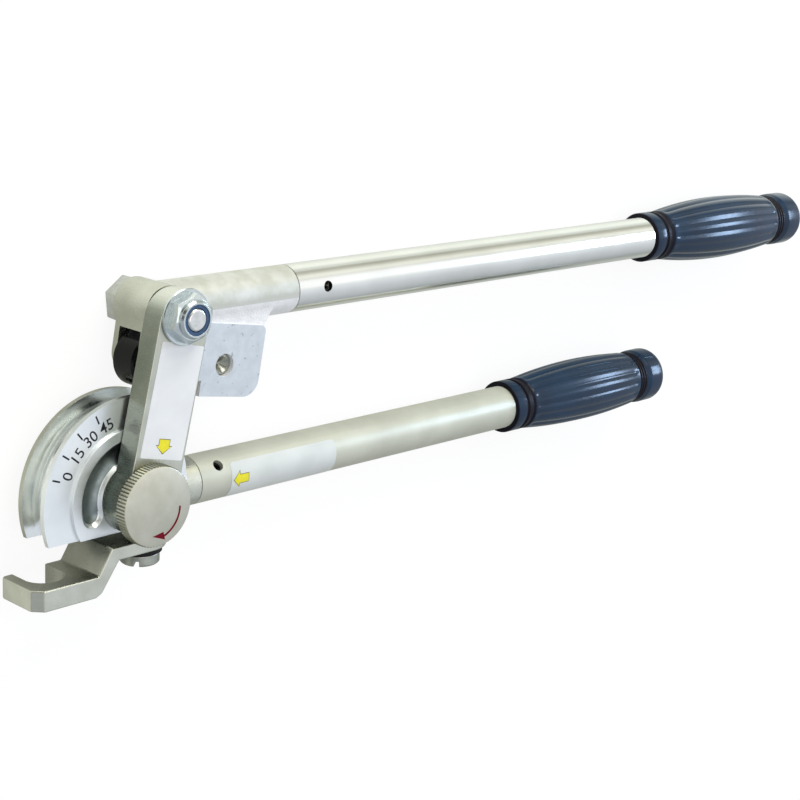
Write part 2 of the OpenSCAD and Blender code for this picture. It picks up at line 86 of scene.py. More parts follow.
class Slot(Enum):
    """Material slots of the record."""

    CAST_NICKEL = "cast_nickel"
    STEEL = "steel"
    PLATED_TUBE = "plated_tube"
    ZINC = "zinc"
    GRIP = "grip"


def linear(code: str) -> tuple[float, float, float, float]:
    """Turns an sRGB hex colour into linear light.

    Args:
        code: Colour such as "#c0c0c0".

    Returns:
        Red, green, blue and alpha.
    """
    parts = [int(code[i:i + 2], 16) / 255 for i in (1, 3, 5)]
    red, green, blue = (c / 12.92 if c <= 0.04045 else ((c + 0.055) / 1.055) ** 2.4 for c in parts)
    return red, green, blue, 1.0


def add(tree: Tree, kind: str, inputs: dict | None = None, **settings) -> bpy.types.Node:
    """Adds a node with its settings, values and links.

    Args:
        tree: Tree that gets the node.
        kind: Blender's name of the node type.
        inputs: Socket name or number to a value, or to the socket that feeds it.
        **settings: Properties of the node itself.

    Returns:
        The new node.
    """
    node = tree.nodes.new(kind)
    for name, value in settings.items():
        setattr(node, name, value)
    for key, value in (inputs or {}).items():
        if isinstance(value, Socket):
            tree.links.new(value, node.inputs[key])
        else:
            node.inputs[key].default_value = value
    return node


@dataclass(frozen=True)
class Finish:
    """A surface: its two tones, its gloss, and the grain that its making leaves."""

    name: str
    tone: str
    shade: str
    metallic: float
    roughness: tuple[float, float]
    grain: tuple[float, float, float]
    patch: float
    relief: float
    ior: float = 1.5
    flecks: float = 0.0

    def marks(self, tree: Tree, place: Socket) -> Socket:
        """Draws the grain of the surface.

        Args:
            tree: Tree of the material.
            place: Object coordinates.

        Returns:
            Height of the grain, 0 to 1.
        """
        sized = add(tree, "ShaderNodeMapping", {"Vector": place, "Scale": [1 / (g * MM) for g in self.grain]})
        noise = add(tree, "ShaderNodeTexNoise", {"Vector": sized.outputs[0], "Scale": 1.0, "Detail": 3.0})
        return noise.outputs[0]

    def share(self, tree: Tree, place: Socket) -> Socket:
        """Clouds the two tones into each other.

        Args:
            tree: Tree of the material.
            place: Object coordinates.

        Returns:
            Share of the second tone, 0 to 1.
        """
        cloud = add(tree, "ShaderNodeTexNoise", {
            "Vector": place, "Scale": 1 / (self.patch * MM), "Detail": 4.0})
        return add(tree, "ShaderNodeMapRange", {
            "Value": cloud.outputs[0], "From Min": CLOUD_RANGE[0], "From Max": CLOUD_RANGE[1]}).outputs[0]

    @cache
    def material(self) -> bpy.types.Material:
        """Builds the material once.

        Returns:
            The finished material.
        """
        material = bpy.data.materials.new(self.name)
        material.use_nodes = True
        tree = material.node_tree
        tree.nodes.clear()
        place = add(tree, "ShaderNodeTexCoord").outputs["Object"]
        marks = self.marks(tree, place)
        clean = add(tree, "ShaderNodeMix", {
            0: self.share(tree, place), 6: linear(self.tone), 7: linear(self.shade)}, data_type="RGBA")
        grit = add(tree, "ShaderNodeTexNoise", {
            "Vector": place, "Scale": 1 / (FLECK_SIZE * MM), "Detail": 3.0})
        worn = add(tree, "ShaderNodeMapRange", {
            "Value": grit.outputs[0], "From Min": FLECK_RANGE[0], "From Max": FLECK_RANGE[1],
            "To Max": self.flecks})
        colour = add(tree, "ShaderNodeMix", {
            0: worn.outputs[0], 6: clean.outputs[2], 7: linear(FLECK_TONE)}, data_type="RGBA")
        gloss = add(tree, "ShaderNodeMapRange", {
            "Value": marks, "From Min": GLOSS_RANGE[0], "From Max": GLOSS_RANGE[1],
            "To Min": self.roughness[0], "To Max": self.roughness[1]})
        bump = add(tree, "ShaderNodeBump", {"Height": marks, "Distance": self.relief * MM})
        shader = add(tree, "ShaderNodeBsdfPrincipled", {
            "Base Color": colour.outputs[2], "Metallic": self.metallic, "Roughness": gloss.outputs[0],
            "IOR": self.ior, "Normal": bump.outputs[0]})
        add(tree, "ShaderNodeOutputMaterial", {"Surface": shader.outputs[0]})
        return material


@dataclass(frozen=True)
class CastFinish(Finish):
    """A cast skin: fine grit over a slow ripple."""

    ripple: float = 7.0
    ripple_share: float = 0.6

    def marks(self, tree: Tree, place: Socket) -> Socket:
        """Adds a slow ripple to the grit.

        Args:
            tree: Tree of the material.
            place: Object coordinates.

        Returns:
            Height of the skin, 0 to 1.
        """
        grit = super().marks(tree, place)
        wave = add(tree, "ShaderNodeTexNoise", {
            "Vector": place, "Scale": 1 / (self.ripple * MM), "Detail": 1.0})
        both = add(tree, "ShaderNodeMath", {0: wave.outputs[0], 1: self.ripple_share, 2: grit},
                   operation="MULTIPLY_ADD")
        return add(tree, "ShaderNodeMath", {0: both.outputs[0], 1: 1 + self.ripple_share},
                   operation="DIVIDE").outputs[0]


@dataclass(frozen=True)
class TurnedFinish(Finish):
    """A face turned on a lathe about the bend axis: rings, drawn coarser than real so that they show."""

    pitch: float = 1.5

    def marks(self, tree: Tree, place: Socket) -> Socket:
        """Adds turning rings to the grain.

        Args:
            tree: Tree of the material.
            place: Object coordinates.

        Returns:
            Height of the turned face, 0 to 1.
        """
        grain = super().marks(tree, place)
        rings = add(tree, "ShaderNodeTexWave", {
            "Vector": place, "Scale": math.tau / WAVE_RADIANS / (self.pitch * MM)},
            wave_type="RINGS", rings_direction="Z")
        both = add(tree, "ShaderNodeMath", {0: rings.outputs["Fac"], 1: grain})
        return add(tree, "ShaderNodeMath", {0: both.outputs[0], 1: 0.5}, operation="MULTIPLY").outputs[0]


@dataclass(frozen=True)
class ToneRampFinish(Finish):
    """A surface whose first tone turns into its second towards one end: a painted highlight on the link's
    edges, the whiter skin of the web on the lever's neck.
    """

    ramp_from: float = 78.0
    ramp_to: float = 87.0
    clouding: float = 0.3

    def share(self, tree: Tree, place: Socket) -> Socket:
        """Turns the clouded first tone into the second along the second axis.

        Args:
            tree: Tree of the material.
            place: Object coordinates.

        Returns:
            Share of the second tone, 0 to 1.
        """
        along = add(tree, "ShaderNodeSeparateXYZ", {0: place}).outputs["Y"]
        ramped = add(tree, "ShaderNodeMapRange", {
            "Value": along, "From Min": self.ramp_from * MM, "From Max": self.ramp_to * MM},
            **SMOOTH)
        cloud = add(tree, "ShaderNodeMath", {0: super().share(tree, place), 1: self.clouding},
                    operation="MULTIPLY")
        return add(tree, "ShaderNodeMath", {0: cloud.outputs[0], 1: ramped.outputs[0]},
                   operation="MAXIMUM").outputs[0]


# Nickel plate over a blasted casting: warm, satin, with a soft uneven skin.
NICKEL_CASTING = CastFinish(
    "satin nickel casting", "#cacbbf", "#bebfb2", 1.0, (0.24, 0.36), (1.1, 1.1, 1.1), 9.0, 0.03)
# The lever's neck is blasted duller than the barrel: a soft sheen along its top, almost white below.
BLASTED_NECK = ToneRampFinish(
    "blasted casting", "#bebfb4", "#f0f0f2", 0.5, (0.4, 0.52), (0.9, 0.9, 0.9), 7.0, 0.05,
    ramp_from=78.0, ramp_to=70.0)
# The web below it keeps a coarse foundry skin that scatters the light almost white; the plate's left sides
# take it too, as painted light.
NEAR_WHITE_CASTING = CastFinish(
    "near-white casting", "#f6f6f8", "#ecedf0", 0.2, (0.55, 0.68), (0.9, 0.9, 0.9), 4.0, 0.3, ripple=3.0)
# The same plate over milled faces: smoother and cooler than the cast skin.
MILLED_NICKEL = Finish(
    "milled nickel face", "#f2f5f5", "#e8ecee", 1.0, (0.28, 0.38), (9.0, 0.8, 0.8), 14.0, 0.006)
# The lever's plate is milled and then scuffed by years of use.
SCUFFED_PLATE = Finish(
    "scuffed milled plate", "#d3d8db", "#c9ced2", 1.0, (0.3, 0.44), (1.3, 1.3, 1.3), 5.0, 0.012, flecks=0.5)
# The groove is turned and polished, so it mirrors the room in long soft bands.
POLISHED_GROOVE = Finish(
    "polished nickel groove", "#e9eceb", "#dee2e1", 1.0, (0.14, 0.22), (2.0, 2.0, 0.7), 12.0, 0.004)
# The cove round the hub is cast deep and stays dull; its darker tone is painted shade.
SHADED_COVE = CastFinish("cast cove with painted shade", "#8d9696", "#767f80", 1.0, (0.34, 0.48), (1.1, 1.1, 1.1), 5.0, 0.05)
# Drawn steel tube with bright nickel: sharp bands along the handle, faint draw lines.
BRIGHT_TUBE = Finish(
    "bright nickel tube", "#dfe0dc", "#d7d8d3", 1.0, (0.14, 0.19), (60.0, 0.8, 0.8), 30.0, 0.002)
# The lower tube is plated duller and spreads its bands.
SATIN_TUBE = Finish(
    "satin nickel tube", "#cfd0c2", "#c5c6b8", 0.35, (0.36, 0.44), (50.0, 0.9, 0.9), 18.0, 0.002)
# Ground faces of the link's flat bar, with fine lines along it.
GROUND_BAR = Finish(
    "ground steel bar", "#c3c4b8", "#b7b8ab", 1.0, (0.26, 0.36), (0.8, 12.0, 0.8), 11.0, 0.008)
# The bar's edges take a darker tone than its faces, painted shade, and turn pale towards the round end, a
# painted highlight.
EDGE_SHADE_AND_HIGHLIGHT = ToneRampFinish(
    "steel edge with painted shade and highlight", "#868c80", "#d0d2c8", 1.0, (0.22, 0.34), (1.0, 1.0, 8.0), 22.0, 0.008)
# Turned knob face: rings that catch the light as a faint fan.
TURNED_KNOB = TurnedFinish(
    "turned nickel knob", "#cac8b9", "#bebcac", 1.0, (0.29, 0.4), (1.6, 1.6, 1.6), 8.0, 0.004)
# Knurl of the knob: the same plate in a darker tone, painted shade for the dark between its teeth.
SHADED_KNURL = Finish(
    "knurled rim with painted shade", "#888979", "#777868", 1.0, (0.25, 0.4), (1.0, 1.0, 1.0), 5.0, 0.006)
# Blue bright zinc of the nut and washer: cool, glossy, slightly clouded.
BLUE_ZINC = Finish("blue bright zinc", "#cdd4d5", "#bfc7c8", 1.0, (0.12, 0.2), (1.4, 1.4, 1.4), 5.0, 0.004)
# The bolt's plate is plainer and sharper than the casting beside it.
BOLT_ZINC = Finish("plain zinc bolt", "#dcdddb", "#cdcecb", 1.0, (0.16, 0.26), (1.0, 1.0, 1.0), 3.0, 0.004)
# Plain zinc of the hook screw and roller pins, in a darker tone than the nut's.
DULL_ZINC = Finish("dull zinc", "#aaaca3", "#9a9c92", 1.0, (0.25, 0.36), (1.2, 1.2, 1.2), 4.0, 0.006)
# Black oxide on spring steel: dark, with a dull oily shine.
BLACK_OXIDE = Finish(
    "black oxide steel", "#0e0f11", "#08090a", 0.0, (0.45, 0.6), (0.9, 0.9, 0.9), 3.0, 0.01, 1.3)
# Dipped vinyl of the grips: near black navy under a soft gloss.
NAVY_VINYL = Finish("navy vinyl", "#072d4a", "#05243d", 0.0, (0.15, 0.2), (4.0, 2.5, 2.5), 20.0, 0.002, 1.36)
# The grips' sunken rings are near black, painted shade, and have no shine left.
SHADED_VINYL = Finish("vinyl with painted shade", "#0b0a1c", "#080714", 0.0, (0.4, 0.5), (2.0, 2.0, 2.0), 8.0, 0.004, 1.25)
# Acetal rollers: black, turned smooth and rubbed glossy by the tube.
BLACK_ACETAL = Finish(
    "black acetal", "#050606", "#030404", 0.0, (0.08, 0.16), (1.2, 1.2, 3.0), 6.0, 0.004, 1.33)
# Dyed nylon ring of the lock nut.
BLUE_NYLON = Finish("blue nylon", "#305278", "#264466", 0.0, (0.4, 0.55), (0.8, 0.8, 0.8), 2.0, 0.01, 1.53)
# White vinyl film of the labels, faintly grey where it has been handled.
WHITE_FILM = Finish("white vinyl film", "#f4f6f9", "#eef0f4", 0.0, (0.35, 0.5), (1.5, 1.5, 1.5), 12.0, 0.003)
# The film round the lower tube is greyer, with the metal faintly showing through.
GREY_FILM = Finish(
    "pale grey vinyl film", "#e2e6e5", "#d8dddc", 0.0, (0.3, 0.45), (1.5, 1.5, 1.5), 12.0, 0.003)
# Screen-printed inks, a little uneven where they lie on the film or the metal.
YELLOW_INK = Finish("yellow screen ink", "#f8ee30", "#f0e528", 0.0, (0.45, 0.6), (0.7, 0.7, 0.7), 2.0, 0.003)
RED_INK = Finish("red screen ink", "#7a0f24", "#690a1c", 0.0, (0.55, 0.7), (0.7, 0.7, 0.7), 1.5, 0.003, 1.2)
BLACK_INK = Finish(
    "black filled engraving", "#2a2a33", "#1f1f28", 0.0, (0.5, 0.65), (0.7, 0.7, 0.7), 1.5, 0.003, 1.3)


def piece(name: str, mesh: Mesh, *finishes: Finish) -> Object:
    """Makes an object at the origin with its finishes.

    Args:
        name: Name of the piece.
        mesh: Its mesh, already in place.
        *finishes: Its finishes, in the order of its material numbers.

    Returns:
        The new object.
    """
    obj = bpy.data.objects.new(name, mesh)
    bpy.context.scene.collection.objects.link(obj)
    mesh.materials.clear()
    for finish in finishes:
        mesh.materials.append(finish.material())
    return obj


def settle(obj: Object) -> None:
    """Turns an object's modifiers into a plain mesh.

    Args:
        obj: The object.
    """
    graph = bpy.context.evaluated_depsgraph_get()
    mesh = bpy.data.meshes.new_from_object(
        obj.evaluated_get(graph), preserve_all_data_layers=True, depsgraph=graph)
    obj.modifiers.clear()
    obj.data = mesh


def keep(obj: Object, body: Body, slot: Slot, *nodes: str) -> None:
    """Hands a finished piece to the frame.

    Args:
        obj: The piece.
        body: Body that it rides on.
        slot: Material slot that it takes its finish from; not used.
        *nodes: CAD nodes that it stands for.
    """
    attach(obj, body.value)
    if nodes:
        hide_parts(*nodes)
    LOG.info("%s on %s, %d faces", obj.name, body.value, len(obj.data.polygons))


def dress(finish: Finish, *nodes: str) -> None:
    """Gives CAD nodes that stay as they are a finish.

    Args:
        finish: The finish.
        *nodes: Names of the nodes.
    """
    for node in nodes:
        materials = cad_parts[node].data.materials
        materials.clear()
        materials.append(finish.material())
        LOG.info("%s in %s", node, finish.name)


def soften(node: str, body: Body, slot: Slot, finishes: list[Finish], choose: Chooser | None = None) -> None:
    """Puts a copy of a CAD node with its edges broken in the node's place.

    Args:
        node: Name of the node.
        body: Body that it rides on.
        slot: Material slot that it takes its finish from.
        finishes: Finishes of the copy.
        choose: Gives a face's finish number from its middle, in millimetres, and its normal.
    """
    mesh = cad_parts[node].data.copy()
    if "custom_normal" in mesh.attributes:
        mesh.attributes.remove(mesh.attributes["custom_normal"])
    shape = bmesh.new()
    shape.from_mesh(mesh)
    bmesh.ops.remove_doubles(shape, verts=shape.verts, dist=1e-6)
    bmesh.ops.dissolve_limit(shape, angle_limit=FLAT_EDGE, verts=shape.verts, edges=shape.edges)
    shape.to_mesh(mesh)
    shape.free()
    obj = piece(node + "_dressed", mesh, *finishes)
    mesh.shade_smooth()
    bevel = obj.modifiers.new("edges", "BEVEL")
    bevel.width = EDGES[node] * MM
    bevel.segments = 2
    bevel.limit_method = "ANGLE"
    bevel.angle_limit = BROKEN_EDGE
    bevel.harden_normals = True
    settle(obj)
    for face in obj.data.polygons:
        face.material_index = choose(face.center / MM, face.normal) if choose else 0
    keep(obj, body, slot, node)


def lathe(profile: Profile, steps: int, place: Matrix) -> Mesh:
    """Turns a profile about its axis.

    Args:
        profile: Points of radius and height.
        steps: Number of faces round the axis.
        place: Where the turned shape goes, from its own Z axis.

    Returns:
        A closed mesh, smooth but for its sharp edges.
    """
    shape = bmesh.new()
    rings = []
    for radius, height in profile:
        turns = [0.0] if radius == 0 else [math.tau * i / steps for i in range(steps)]
        rings.append([shape.verts.new((radius * math.cos(a) * MM, radius * math.sin(a) * MM, height * MM))
                      for a in turns])
    for low, high in pairwise(rings):
        for i in range(steps):
            j = (i + 1) % steps
            corners = [low[i % len(low)], low[j % len(low)], high[j % len(high)], high[i % len(high)]]
            shape.faces.new(list(dict.fromkeys(corners)))
    bmesh.ops.recalc_face_normals(shape, faces=shape.faces)
    shape.transform(place)
    mesh = bpy.data.meshes.new("turned")
    shape.to_mesh(mesh)
    shape.free()
    mesh.shade_smooth()
    mesh.set_sharp_from_angle(angle=SHARP_EDGE)
    return mesh


def film(outline: Profile, thickness: float, lay: Layer, grid: float) -> Mesh:
    """Lays a thin flat shape on a surface.

    Args:
        outline: Corners of the shape, in its own plane.
        thickness: How far it stands off the surface.
        lay: Gives the place, in millimetres, of a point of the shape and its height.
        grid: Size of the faces, so that it can follow a curve.

    Returns:
        The closed mesh.
    """
    shape = bmesh.new()
    shape.faces.new([shape.verts.new((x, y, 0.0)) for x, y in outline])
    for axis, far in ((Vector((0, 1, 0)), 1), (Vector((1, 0, 0)), 0)):
        low = min(p[far] for p in outline)
        high = max(p[far] for p in outline)
        for i in range(1, int((high - low) / grid)):
            at = Vector((0, 0, 0))
            at[far] = low + i * grid
            bmesh.ops.bisect_plane(shape, geom=shape.verts[:] + shape.edges[:] + shape.faces[:],
                                   plane_co=at, plane_no=axis)
    grown = bmesh.ops.extrude_face_region(shape, geom=shape.faces[:])
    for vert in (v for v in grown["geom"] if isinstance(v, bmesh.types.BMVert)):
        vert.co.z = thickness
    for vert in shape.verts:
        vert.co = lay(*vert.co) * MM
    bmesh.ops.recalc_face_normals(shape, faces=shape.faces)
    mesh = bpy.data.meshes.new("film")
    shape.to_mesh(mesh)
    shape.free()
    return mesh


def round_box(left: float, right: float, low: float, high: float, radius: float) -> Profile:
    """Gives a rectangle with round corners.

    Args:
        left: First side.
        right: Side opposite.
        low: Lower side.
        high: Upper side.
        radius: Radius of the corners.

    Returns:
        The outline, turning left.
    """
    corners = ((right - radius, low + radius, -90), (right - radius, high - radius, 0),
               (left + radius, high - radius, 90), (left + radius, low + radius, 180))
    turns = [(x, y, math.radians(a + i * 30)) for x, y, a in corners for i in range(4)]
    return [(x + radius * math.cos(turn), y + radius * math.sin(turn)) for x, y, turn in turns]


def block_arrow(tip: float, neck: float, tail: float, middle: float, head: float, shaft: float,
                border: float = 0.0) -> Profile:
    """Gives a plain block arrow that points back along the first axis.

    Args:
        tip: Place of its point.
        neck: Where its head ends.
        tail: Where its shaft ends.
        middle: Its middle line on the second axis.
        head: Half width of its head.
        shaft: Half width of its shaft.
        border: How far the outline is moved out.

    Returns:
        The outline, turning left.
    """
    tip, head = tip - TIP_REACH * border, head + HEAD_REACH * border
    neck, tail, shaft = neck + border, tail + border, shaft + border
    return [(tip, middle), (neck, middle - head), (neck, middle - shaft), (tail, middle - shaft),
            (tail, middle + shaft), (neck, middle + shaft), (neck, middle + head)]


def stick(name: str, outline: Profile, arrow: tuple[float, ...], lay: Layer, grid: float, paper: Finish,
          body: Body, slot: Slot) -> None:
    """Sticks a blank label with one bordered arrow on a surface.

    Args:
        name: Name of the label.
        outline: Outline of its film.
        arrow: Sizes of its arrow.
        lay: Gives the place, in millimetres, of a point of the label and its height.
        grid: Size of its faces.
        paper: Finish of the film.
        body: Body that it rides on.
        slot: Material slot of what it sticks to.
    """
    for part, shape, thickness, finish in (
            ("", outline, FILM, paper),
            ("_arrow_edge", block_arrow(*arrow, border=BORDER), BORDER_INK, BLACK_INK),
            ("_arrow", block_arrow(*arrow), FILL_INK, YELLOW_INK)):
        mesh = film(shape, thickness, lay, grid)
        mesh.shade_smooth()
        mesh.set_sharp_from_angle(angle=SHARP_EDGE)
        keep(piece(name + part, mesh, finish), body, slot)


@dataclass
class Pattern:
    """A Geometry Nodes tree with named inputs, run once into a plain mesh."""

    name: str

    def __post_init__(self) -> None:
        """Makes the empty tree with its geometry in and out."""
        self.tree = bpy.data.node_groups.new(self.name, "GeometryNodeTree")
        self.tree.interface.new_socket("Geometry", in_out="INPUT", socket_type="NodeSocketGeometry")
        self.tree.interface.new_socket("Geometry", in_out="OUTPUT", socket_type="NodeSocketGeometry")
        self.values: dict[str, object] = {}

    def give(self, name: str, kind: str, value: object) -> None:
        """Adds a named input.

        Args:
            name: Name of the input.
            kind: Kind of socket, such as Float.
            value: Value that this run takes.
        """
        socket = self.tree.interface.new_socket(name, in_out="INPUT", socket_type="NodeSocket" + kind)
        self.values[socket.identifier] = value

    def close(self, geometry: Socket, finish: Socket) -> None:
        """Ends the tree in real geometry with its finish.

        Args:
            geometry: What the tree has made.
            finish: Its material.
        """
        real = add(self.tree, "GeometryNodeRealizeInstances", {0: geometry})
        dressed = add(self.tree, "GeometryNodeSetMaterial", {"Geometry": real.outputs[0], "Material": finish})
        add(self.tree, "NodeGroupOutput", {0: dressed.outputs[0]})

    def run(self, name: str, mesh: Mesh, finish: Finish) -> Object:
        """Runs the tree on a mesh.

        Args:
            name: Name of the piece.
            mesh: Mesh that goes in.
            finish: Finish of the result.

        Returns:
            The piece, as a plain mesh.
        """
        obj = piece(name, mesh, finish)
        nodes = obj.modifiers.new(self.name, "NODES")
        nodes.node_group = self.tree
        for identifier, value in self.values.items():
            nodes[identifier] = value
        settle(obj)
        return obj


@dataclass
class Former:
    """The grooved former with its neck, degree scale and centre stud."""

    bend_radius: float = 38.1
    groove: float = 6.4
    face: float = 8.8
    cove: tuple[float, float] = (10.0, 28.2)
    cove_floor: float = -0.5
    cove_top: float = 8.6
    groove_slack: tuple[float, float] = (0.3, 0.05)
    groove_end: float = -14.2
    neck_from: float = 30.0
    milled_depth: float = 4.0
    milled_to: float = 18.0
    tick_outer: float = 41.0
    tick_length: float = 3.9
    tick_width: float = 0.75
    tick_height: float = 0.06
    zero: float = 160.3
    degrees: tuple[int, ...] = (0, 15, 30, 45, 90)
    figure_radius: float = 34.0
    figure_size: float = 7.0
    figure_lag: float = 4.7
    figure_height: float = 0.03
    figure_bold: float = 0.04

    def finish_of(self, middle: Vector, normal: Vector) -> int:
        """Picks cast skin, milled face, polished groove, or dull cove with painted shade.

        Args:
            middle: Middle of a face, in millimetres.
            normal: Its normal.

        Returns:
            Number of its finish.
        """
        ring = math.hypot(middle.x, middle.y)
        # The cove inside the hub takes a darker finish: painted shade.
        if self.cove[0] < ring < self.cove[1] and self.cove_floor < middle.z < self.cove_top:
            return 3
        inwards, sideways = self.groove_slack
        grooved = ring > self.bend_radius - self.groove - inwards and abs(middle.z) < self.groove + sideways
        if grooved and middle.x < self.neck_from:
            return 2 if middle.y > self.groove_end else 0
        raised = middle.z > self.face - self.milled_depth and ring < self.bend_radius + self.groove
        return int(raised and middle.x < self.milled_to)

    def build(self) -> None:
        """Dresses the casting, its scale and the stud."""
        finishes = [NICKEL_CASTING, MILLED_NICKEL, POLISHED_GROOVE, SHADED_COVE]
        soften("bending_former", Body.BASE, Slot.CAST_NICKEL, finishes, self.finish_of)
        keep(self.ticks(), Body.BASE, Slot.CAST_NICKEL)
        for degree in self.degrees:
            keep(self.figure(str(degree), self.zero - degree), Body.BASE, Slot.CAST_NICKEL)
        dress(GROUND_BAR, "centre_stud")

    def ticks(self) -> Object:
        """Sets the degree marks round the face.

        Returns:
            All marks as one piece.
        """
        marks = Pattern("degree_marks")
        marks.give("Length", "Float", self.tick_length * MM)
        marks.give("Width", "Float", self.tick_width * MM)
        marks.give("Finish", "Material", BLACK_INK.material())
        tree = marks.tree
        given = add(tree, "NodeGroupInput").outputs
        spot = add(tree, "GeometryNodeInputPosition")
        at = add(tree, "ShaderNodeSeparateXYZ", {0: spot.outputs[0]}).outputs
        angle = add(tree, "ShaderNodeMath", {0: at["Y"], 1: at["X"]}, operation="ARCTAN2")
        turn = add(tree, "ShaderNodeCombineXYZ", {"Z": angle.outputs[0]})
        size = add(tree, "ShaderNodeCombineXYZ", {
            "X": given["Length"], "Y": given["Width"], "Z": self.tick_height * MM})
        bar = add(tree, "GeometryNodeMeshCube", {"Size": size.outputs[0]})
        bars = add(tree, "GeometryNodeInstanceOnPoints", {
            "Points": given[0], "Instance": bar.outputs[0], "Rotation": turn.outputs[0]})
        marks.close(bars.outputs[0], given["Finish"])
        middle = self.tick_outer - self.tick_length / 2
        turns = [math.radians(self.zero - degree) for degree in self.degrees]
        spots = bpy.data.meshes.new("marks")
        corners = [Vector((middle * math.cos(a), middle * math.sin(a), self.face)) * MM for a in turns]
        spots.from_pydata(corners, [], [])
        return marks.run("degree_marks", spots, BLACK_INK)

    def figure(self, figure: str, angle: float) -> Object:
        """Sets one number of the degree scale.

        Args:
            figure: The number.
            angle: Place of its mark in degrees.

        Returns:
            The number as a thin mesh.
        """
        turn = math.radians(angle - self.figure_lag)
        font = bpy.data.curves.new("figure", "FONT")
        font.body = figure
        font.size = self.figure_size * MM
        font.align_x = "CENTER"
        font.align_y = "CENTER"
        font.extrude = self.figure_height * MM
        font.offset = self.figure_bold * MM
        text = bpy.data.objects.new("figure", font)
        bpy.context.scene.collection.objects.link(text)
        graph = bpy.context.evaluated_depsgraph_get()
        mesh = bpy.data.meshes.new_from_object(text.evaluated_get(graph))
        bpy.data.objects.remove(text)
        bpy.data.curves.remove(font)
        out = Vector((math.cos(turn), math.sin(turn), 0))
        across = Vector((out.y, -out.x, 0))
        spot = out * self.figure_radius * MM + Vector((0, 0, self.face * MM))
        mesh.transform(Matrix.Translation(spot) @ Matrix((across, out, (0, 0, 1))).transposed().to_4x4())
        return piece("figure_" + figure, mesh, BLACK_INK)


